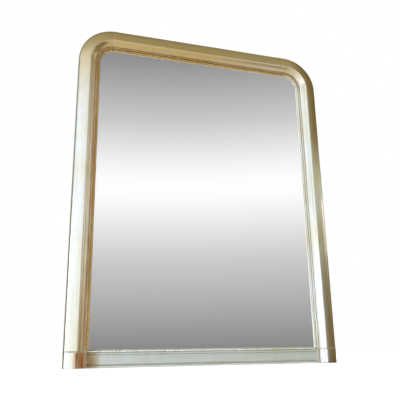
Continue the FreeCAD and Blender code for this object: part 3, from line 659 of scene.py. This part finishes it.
bottomSection = softSection(bottomOutline(moulding, bottomRail), bottomRail["columns"])
closeEnd = bottomRail["closeTo"] - railEnd
spots = np.concatenate([np.linspace(-railEnd, closeEnd, bottomRail["closeRows"])[:-1],
                        np.linspace(closeEnd, railEnd, bottomRail["rows"])])
out, front = bottomSection["points"].T
plinthShadow = ramp(spots, bottomRail["plinthShadow"] - railEnd, -bottomRail["plinthShadow"])[:, None]
addPiece("bottom_rail_moulding", railGilt, "gilded_moulding", *carried(
    bottomSection, sightLine(spots, sightBottom), np.array([[0, 0, -1]]), spots,
    goldAndShade=plinthShadow ** bottomRail["plinthShadowGold"],
    side=(out > bottomRail["height"] - bottomRail["under"]) | (front < finish["back"]),
    hollow=hollowDirt(bottomSection) * bottomRail["dirt"] + bottomRail["plinthShadowDark"] * plinthShadow))


# plinths, in mm: rows close up at the two rims, where the section draws in; the top rim is chipped to bare gesso
plinth = {
    "edgeOut": 5.0, "step": 0.8, "columns": 110, "rim": 0.6, "footRim": 1.0, "topRim": 1.4,
    "footRows": (0, 0.4, 1.0), "middleRows": (3, 9, 14),
    "topRows": (6.6, 6.0, 5.4, 4.8, 4.2, 3.6, 3.0, 2.2, 1.4, 0.8, 0.35, 0.0),
    "chip": 0.5, "chipWaves": (0.9, 0.37), "chipShare": 0.6, "chipDeep": 2.2,
    "bare": 5.8, "bareUneven": 1.2, "bareWave": 0.55, "bareGesso": 0.9, "topFace": 0.5, "topBole": 0.7,
    "wornTo": (54.0, -4.0), "wornFront": 4.0,
    "left": {"bole": 0.95, "grimeAndShade": 1.0}, "right": {"bole": 0.0, "grimeAndShade": 0.35},
}


def plinthOutline(look, block):
    # the same moulding without its bead channel, a step proud
    fillet, floor = filletPoints(look, block["edgeOut"], block["step"])
    curve = ogeePoints(look, block["step"])
    return np.concatenate([[[block["edgeOut"], 0]], fillet, [[curve[0, 0], floor]], curve,
                           [[look["width"] + block["step"], 0]]])


plinthSection = softSection(plinthOutline(moulding, plinth), plinth["columns"])


def plinthBlock(side, sign):
    # chips and bare gesso are sums of sines of the place across the section; the left block is worn to the bole
    look = plinth[side]
    tall = plinthTop / mm
    low, high, count = plinth["middleRows"]
    heights = np.concatenate([plinth["footRows"], np.linspace(low, tall - high, count),
                              tall - np.array(plinth["topRows"])])
    down = tall - heights[:, None]
    across = plinthSection["across"]
    out, front = plinthSection["points"].T
    footDraw = ramp(heights[:, None], plinth["footRim"], -plinth["footRim"]) ** 2
    topDraw = ramp(down, plinth["topRim"], -plinth["topRim"]) ** 2
    first, second = plinth["chipWaves"]
    chipped = ramp(np.sin(across * first + sign) + np.sin(across * second + 2 * sign), plinth["chipShare"], 1.0)
    chip = plinth["chip"] * chipped * ramp(down, plinth["chipDeep"], -plinth["chipDeep"])
    bare = np.clip(plinth["bare"] + plinth["bareUneven"] * np.sin(across * plinth["bareWave"] + sign) - down, 0, 1)
    worn = ramp(out, *plinth["wornTo"]) * ramp(front, 0, plinth["wornFront"]) * look["bole"]
    wear = np.where(down < plinth["topFace"], plinth["topBole"], worn * (1 - bare) - plinth["bareGesso"] * bare)
    # the gold and the dark in the hollows follow the stiles' painted shade
    addPiece(f"{side}_plinth_block", mouldingGilt, "gilded_moulding", *carried(
        plinthSection, sightLine(sign * sightHalf, heights * mm), np.array([[sign, 0, 0]]), heights * mm,
        -plinth["rim"] * (footDraw + topDraw) - chip, goldAndShade=stileGoldAndShade(plinthSection, side, heights * mm),
        wear=wear, hollow=hollowDirt(plinthSection) * look["grimeAndShade"]))


for side, sign in sides.items():
    plinthBlock(side, sign)
print("bottom rail and plinths made")


# pearl beading: half-round beads on a stem, the radius of a ring is the bead's circle or the stem; sizes in mm,
# rings along a bead in pitches. The necks and the parts low down are darker, and darker strips are more golden
beading = {
    "radius": 4.3, "pitch": 9.3, "stem": 1.7, "out": 6.2, "floor": 3.0, "around": 9, "uneven": 0.05, "sharp": 75,
    "rings": (-0.5, -0.43, -0.33, -0.13, 0.13, 0.33, 0.43),
    "neck": 1.5, "low": 1.6, "lowDarkening": 0.7, "goldFrom": 0.8, "goldRise": 2.4,
}


def beadRings(count, seed):
    # place along the strip in pitches, and the radius there; beads differ a little in size
    bead = np.repeat(np.arange(count), len(beading["rings"]))
    shift = np.tile(beading["rings"], count)
    place = np.append(bead + 0.5 + shift, count)
    size = 1 - beading["uneven"] * np.abs(np.sin(bead * 12.9898 + seed))
    reach = np.maximum((beading["radius"] * size) ** 2 - (shift * beading["pitch"]) ** 2, 0)
    radius = np.append(np.maximum(beading["stem"], np.sqrt(reach)), beading["stem"])
    return place, radius


def beadPiece(name, origins, outs, radius, along, grimeAndShade):
    # half circles of the radius, stood on the floor of the channel
    turn = np.linspace(math.pi, 0, beading["around"])
    out = beading["out"] + radius[:, None] * np.cos(turn)
    lift = beading["floor"] + radius[:, None] * np.sin(turn)
    points = origins[:, None] + mm * (out[..., None] * outs[:, None] + lift[..., None] * np.array([0.0, -1.0, 0.0]))
    neck = ramp(radius, beading["stem"] + beading["neck"], -beading["neck"])[:, None]
    low = ramp(lift, beading["floor"] + beading["low"], -beading["low"])
    values = {"hollow": np.maximum(neck, low * beading["lowDarkening"]) * grimeAndShade, "side": 0.0, "wear": 0.0,
              "goldAndShade": np.clip(beading["goldRise"] * grimeAndShade - beading["goldFrom"], 0, 1)}
    addPiece(name, beadGilt, "gilded_beads", points, values, (along, turn * beading["radius"] * mm),
             sharp=beading["sharp"])


def straightBeads(name, start, end, out, seed, grimeAndShade):
    # beads from one end point to the other, half a pitch from each
    start, end = sightLine(*start), sightLine(*end)
    length = np.linalg.norm(end - start)
    count = round(length / mm / beading["pitch"])
    place, radius = beadRings(count, seed)
    share = place / count
    beadPiece(name, start + (end - start) * share[:, None], np.array([out]), radius, share * length, grimeAndShade)


def cornerBeads(name, sign, seed, grimeAndShade):
    # beads along a quarter turn round the corner's centre
    count = round((cornerRadius / mm + beading["out"]) * quarter / beading["pitch"])
    place, radius = beadRings(count, seed)
    turn = place / count * quarter
    outs = cornerOuts(sign, turn)
    beadPiece(name, sightLine(sign * cornerX, cornerZ) + cornerRadius * outs, outs, radius, cornerRadius * turn, grimeAndShade)


# each strip's darkness and gold is painted shade: most on the left and top, least on the right, where the light falls
straightBeads("left_bead_strip", (-sightHalf, sightBottom), (-sightHalf, cornerZ), (-1, 0, 0), seed=0.3, grimeAndShade=0.95)
straightBeads("right_bead_strip", (sightHalf, sightBottom), (sightHalf, cornerZ), (1, 0, 0), seed=1.1, grimeAndShade=0.1)
straightBeads("top_bead_strip", (-cornerX, sightTop), (cornerX, sightTop), (0, 0, 1), seed=2.3, grimeAndShade=0.75)
straightBeads("bottom_bead_strip", (-railEnd, sightBottom), (railEnd, sightBottom), (0, 0, -1), seed=3.7, grimeAndShade=0.28)
cornerBeads("top_left_corner_beads", -1, seed=4.1, grimeAndShade=0.75)
cornerBeads("top_right_corner_beads", 1, seed=5.9, grimeAndShade=0.4)
print("beading made")


# hanging rings: round bar carried along a closed loop, tilted about the knuckle; sizes in mm, tilt in degrees
ring = {"wire": 1.75, "halfWidth": 13.25, "drop": 28.0, "bend": 4.5, "bendSteps": 24, "tilt": 7.0,
        "around": 20, "steps": 240}


def hangingRing(name, body):
    # half the loop from the middle of the bar: bar, small bend, leg, quarter of the bow; then its mirror image
    pivot = [joint["pos_m"] for joint in frame["joints"] if joint["child"] == body][0]
    half, bend, drop = ring["halfWidth"], ring["bend"], ring["drop"]
    turn = np.linspace(0, quarter, ring["bendSteps"])
    small = np.stack([half - bend + bend * np.sin(turn), -bend + bend * np.cos(turn)], 1)
    bow = np.stack([half * np.cos(turn), half - drop - half * np.sin(turn)], 1)
    right = np.concatenate([[[0.0, 0.0]], small, bow])
    line = evenWalk(np.concatenate([right, (right * [-1, 1])[-2:0:-1]]), ring["steps"])[1]
    ahead = headings(line)
    outward = np.stack([ahead[:, 1], -ahead[:, 0]], 1)
    turn = np.linspace(0, 2 * math.pi, ring["around"], endpoint=False)
    across, down = np.moveaxis(line[:, None] + ring["wire"] * np.cos(turn)[None, :, None] * outward[:, None], -1, 0)
    depth = ring["wire"] * np.sin(turn)[None]
    tilt = math.radians(ring["tilt"])  # what hangs down swings back
    y = depth * math.cos(tilt) - down * math.sin(tilt)
    z = depth * math.sin(tilt) + down * math.cos(tilt)
    points = np.array(pivot) + mm * np.stack([across, y, z], -1)
    addPiece(name, blackIron, "black_iron", points, body=body, loop=True)


hangingRing("left_hanger_ring", "left_ring")
hangingRing("right_hanger_ring", "right_ring")
print("rings made")


# floor, light, camera


def stageCard(name, corners, material=None, hiddenFrom=()):
    # a flat card of four corners, not part of the object
    mesh = bpy.data.meshes.new(name)
    mesh.from_pydata(corners, [], [(0, 1, 2, 3)])
    if material:
        mesh.materials.append(material)
    piece = bpy.data.objects.new(name, mesh)
    for ray in hiddenFrom:
        setattr(piece, "visible_" + ray, False)
    scene.collection.objects.link(piece)


def uprightCorners(card):
    # corners of a card that faces sideways
    (y0, y1), (z0, z1) = card["y"], card["z"]
    return [(card["x"], y, z) for y, z in ((y0, z0), (y1, z0), (y1, z1), (y0, z1))]


# reach in metres, right in degrees and left in radians round the stiles' feet from straight ahead
floorLook = {
    "colour": "#F2F1EE", "bounce": "#B08A50", "glow": 0.92, "shadow": 0.62, "reach": 40.0,
    "tone": (1.28, 1.32, 1.27), "leftTone": (1.75, 2.0, 2.4), "right": (36, 50), "left": (0.06, -0.12),
}


def paleFloor(name, look):
    # plain matt floor: white to the camera but for the shadow round the foot; bright ahead and dim to the right
    # where it is mirrored
    material, add, place = newMaterial(name)
    ray = add("LightPath").outputs
    matt = add("BsdfDiffuse", {"Color": look["colour"]})
    clearance = add("AmbientOcclusion", {"Distance": 0.3}, samples=8).outputs["AO"]
    strength = add("MapRange", {"Value": clearance, "From Min": 0.4, "To Min": look["shadow"],
                                "To Max": look["glow"]})
    glow = add("Emission", {"Color": (1.0, 1.0, 1.0), "Strength": strength})
    seen = add("AddShader", {0: matt, 1: glow})
    spot = add("SeparateXYZ", {"Vector": place}).outputs
    ahead = add("Math", {0: spot["Y"], 1: -1.0}, operation="MULTIPLY")
    beside = add("Math", {0: spot["X"], 1: sightHalf}, operation="SUBTRACT")
    rightTurn = add("Math", {0: beside, 1: ahead}, operation="ARCTAN2")
    rightFrom, rightTo = np.radians(look["right"])
    shine = add("MapRange", {"Value": rightTurn, "From Min": rightFrom, "From Max": rightTo,
                             "To Min": 1.0, "To Max": 0.05})
    before = add("Math", {0: spot["X"], 1: sightHalf}, operation="ADD")
    leftTurn = add("Math", {0: before, 1: ahead}, operation="ARCTAN2")
    leftFac = add("MapRange", {"Value": leftTurn, "From Min": look["left"][0], "From Max": look["left"][1]})
    tone = add("Mix", {"Factor": leftFac, "A": look["tone"], "B": look["leftTone"]}, data_type="RGBA")
    mirrored = add("Emission", {"Color": tone, "Strength": shine})
    bounce = add("BsdfDiffuse", {"Color": look["bounce"]})
    given = add("MixShader", {"Fac": ray["Is Glossy Ray"], 1: bounce, 2: mirrored})
    shown = add("MixShader", {"Fac": ray["Is Camera Ray"], 1: given, 2: seen})
    add("OutputMaterial", {"Surface": shown})
    return material


reach = floorLook["reach"]
stageCard("floor", [(-reach, -reach, 0), (reach, -reach, 0), (reach, reach, 0), (-reach, reach, 0)],
          paleFloor("pale_floor", floorLook))


lamps = {
    # cool window light from the left, nearly along the wall
    "window_light": {"place": (-5.9, -2.15, 0.6), "aim": (0.0, 0.0, 0.6), "size": (1.6, 2.0), "power": 125.0,
                     "colour": (0.8, 0.86, 1.0), "spread": 180},
    # the lower panes, further forward, reach only the foot of the frame
    "low_light": {"place": (-2.9, -2.9, 0.1), "aim": (0.0, 0.0, 0.0), "size": (0.8, 0.5), "power": 2.6,
                  "colour": (0.38, 0.64, 1.0), "spread": 40},
    # weak neutral light behind for the back
    "back_light": {"place": (1.5, 4.5, 2.6), "aim": (0.0, 0.0, 0.7), "size": (3.0, 3.0), "power": 170.0,
                   "colour": (1.0, 0.97, 0.93), "spread": 180},
}
for name, look in lamps.items():
    lamp = bpy.data.lights.new(name, "AREA")
    lamp.shape = "RECTANGLE"
    lamp.size, lamp.size_y = look["size"]
    lamp.energy = look["power"]
    lamp.color = look["colour"]
    lamp.spread = math.radians(look["spread"])
    piece = bpy.data.objects.new(name, lamp)
    piece.location = look["place"]
    piece.rotation_euler = (Vector(look["aim"]) - Vector(look["place"])).to_track_quat("-Z", "Y").to_euler()
    scene.collection.objects.link(piece)

# head of the window: keeps part of the light off the top of the frame
windowHead = {"x": -2.0, "y": (-2.5, 1.0), "z": (1.55, 2.6)}
stageCard("window_head", uprightCorners(windowHead), hiddenFrom=("camera", "glossy", "diffuse", "transmission"))

# cards beside the right stile, mirrored in its shoulder, which deepen it above and below a bright middle
flags = {
    "upper_flag": {"x": 0.72, "y": (-0.26, 0.3), "z": (0.76, 1.8), "fade": (0.76, 1.18),
                   "low": (1.15, 1.3, 1.22), "high": (0.30, 0.25, 0.13)},
    "lower_flag": {"x": 0.72, "y": (-0.09, 0.3), "z": (-0.1, 0.50), "fade": (0.30, 0.50),
                   "low": (0.35, 0.28, 0.14), "high": (0.6, 0.55, 0.4)},
}
for name, flag in flags.items():
    material, add, place = newMaterial(name)
    height = add("SeparateXYZ", {"Vector": place}).outputs["Z"]
    rise = add("MapRange", {"Value": height, "From Min": flag["fade"][0], "From Max": flag["fade"][1]},
               interpolation_type="SMOOTHSTEP")
    tone = add("Mix", {"Factor": rise, "A": flag["low"], "B": flag["high"]}, data_type="RGBA")
    glow = add("Emission", {"Color": tone, "Strength": 1.0})
    add("OutputMaterial", {"Surface": glow})
    stageCard(name, uprightCorners(flag), material, hiddenFrom=("camera", "shadow", "diffuse"))

# the room round the mirror: soft light for the matt parts, and what shiny parts and the glass see
room = {
    "tones": {
        "ambient": (0.28, 0.245, 0.155), "ambientRight": (0.14, 0.12, 0.07), "white": (1.0, 1.0, 1.0),
        "left": (1.95, 2.15, 2.5), "farLeft": (0.72, 0.86, 1.06), "farLeftHigh": (1.75, 2.1, 2.45),
        "right": (0.02, 0.018, 0.012), "rightMid": (1.1, 1.3, 1.26),
        "farRight": (1.17, 1.02, 0.61), "farMid": (3.7, 3.7, 3.6),
        "behind": (0.10, 0.08, 0.05), "top": (0.78, 0.82, 0.68), "zenith": (0.36, 0.38, 0.30),
    },
    # what the glass shows: neutral bands by rise, the sine of a direction's height
    "bands": [(0.0, 0.25), (0.014, 0.275), (0.1685, 0.62), (0.26, 0.93), (0.285, 1.02), (0.315, 1.02),
              (0.345, 0.92), (0.4195, 0.60), (0.5135, 0.30), (0.62, 0.20)],
    # how far a direction belongs to the bright middle heights on the right, by rise
    "level": [(0.14, 0.0), (0.25, 1.0), (0.36, 1.0), (0.48, 0.0)],
    # a new tone from one that turns into another, as a measure of the direction or the ray goes from one value to
    # the next; turn is in radians to the right of straight ahead
    "washes": [
        ("farLeftTone", "farLeft", "farLeftHigh", "rise", 0.26, 0.36, "SMOOTHSTEP"),
        ("leftTone", "left", "farLeftTone", "turn", -0.45, -1.1, "SMOOTHSTEP"),
        ("rightTone", "right", "rightMid", "level", 0.0, 1.0, "LINEAR"),
        ("farTone", "farRight", "farMid", "level", 0.0, 1.0, "LINEAR"),
        ("topTone", "top", "zenith", "rise", 0.74, 0.97, "LINEAR"),
        ("room", "bands", "leftTone", "turn", 0.09, -0.02, "SMOOTHSTEP"),
        ("room", "room", "rightTone", "turn", 0.53, 0.65, "SMOOTHSTEP"),
        ("room", "room", "farTone", "turn", 1.05, 1.22, "SMOOTHSTEP"),
        ("room", "room", "behind", "turn", 1.7, 1.95, "SMOOTHSTEP"),
        ("room", "room", "topTone", "rise", 0.54, 0.66, "SMOOTHSTEP"),
        ("soft", "ambient", "ambientRight", "turn", 0.3, 1.2, "LINEAR"),
        ("fill", "soft", "room", "mirrored", 0.0, 1.0, "LINEAR"),
        ("shown", "fill", "white", "plain", 0.0, 1.0, "LINEAR"),
    ],
}
world = bpy.data.worlds.new("studio")
world.use_nodes = True
scene.world = world
world.node_tree.nodes.clear()
add = partial(addNode, world.node_tree)
ray = add("LightPath").outputs
towards = add("SeparateXYZ", {"Vector": add("TexCoord").outputs["Generated"]}).outputs
ahead = add("Math", {0: towards["Y"], 1: -1.0}, operation="MULTIPLY")
measures = {
    "turn": add("Math", {0: towards["X"], 1: ahead}, operation="ARCTAN2"),
    "rise": towards["Z"],
    "level": add("ValToRGB", {"Fac": towards["Z"]}, room["level"]),
    "mirrored": ray["Is Glossy Ray"],
    "plain": add("Math", {0: ray["Is Camera Ray"], 1: ray["Is Transmission Ray"]}, operation="MAXIMUM"),
}
tones = dict(room["tones"], bands=add("ValToRGB", {"Fac": towards["Z"]}, room["bands"]))
for result, first, second, measure, start, end, fade in room["washes"]:
    share = add("MapRange", {"Value": measures[measure], "From Min": start, "From Max": end}, interpolation_type=fade)
    tones[result] = add("Mix", {"Factor": share, "A": tones[first], "B": tones[second]}, data_type="RGBA")
background = add("Background", {"Color": tones["shown"], "Strength": 1.0})
add("OutputWorld", {"Surface": background})

# camera: focal length in pixels of the square picture, place from the lower left sight corner
view = {
    "focal": 526.475, "pixels": 400, "sensor": 36, "from": (-0.20197, -2.03242, -0.01697),
    "sideways": (0.95523, -0.29542, -0.01589), "forward": (0.28797, 0.91612, 0.27891),
}
camera = bpy.data.cameras.new("camera")
camera.sensor_width = view["sensor"]
camera.lens = view["focal"] / view["pixels"] * view["sensor"]
camera.clip_start = 0.05
eye = bpy.data.objects.new("camera", camera)
forward = Vector(view["forward"]).normalized()
right = Vector(view["sideways"])
right = (right - forward * right.dot(forward)).normalized()
turn = Matrix((right, right.cross(forward), -forward)).transposed().to_4x4()
eye.matrix_world = Matrix.Translation(Vector((-sightHalf, glassY, sightBottom)) + Vector(view["from"])) @ turn
scene.collection.objects.link(eye)
scene.camera = eye
print("stage, light and camera set")
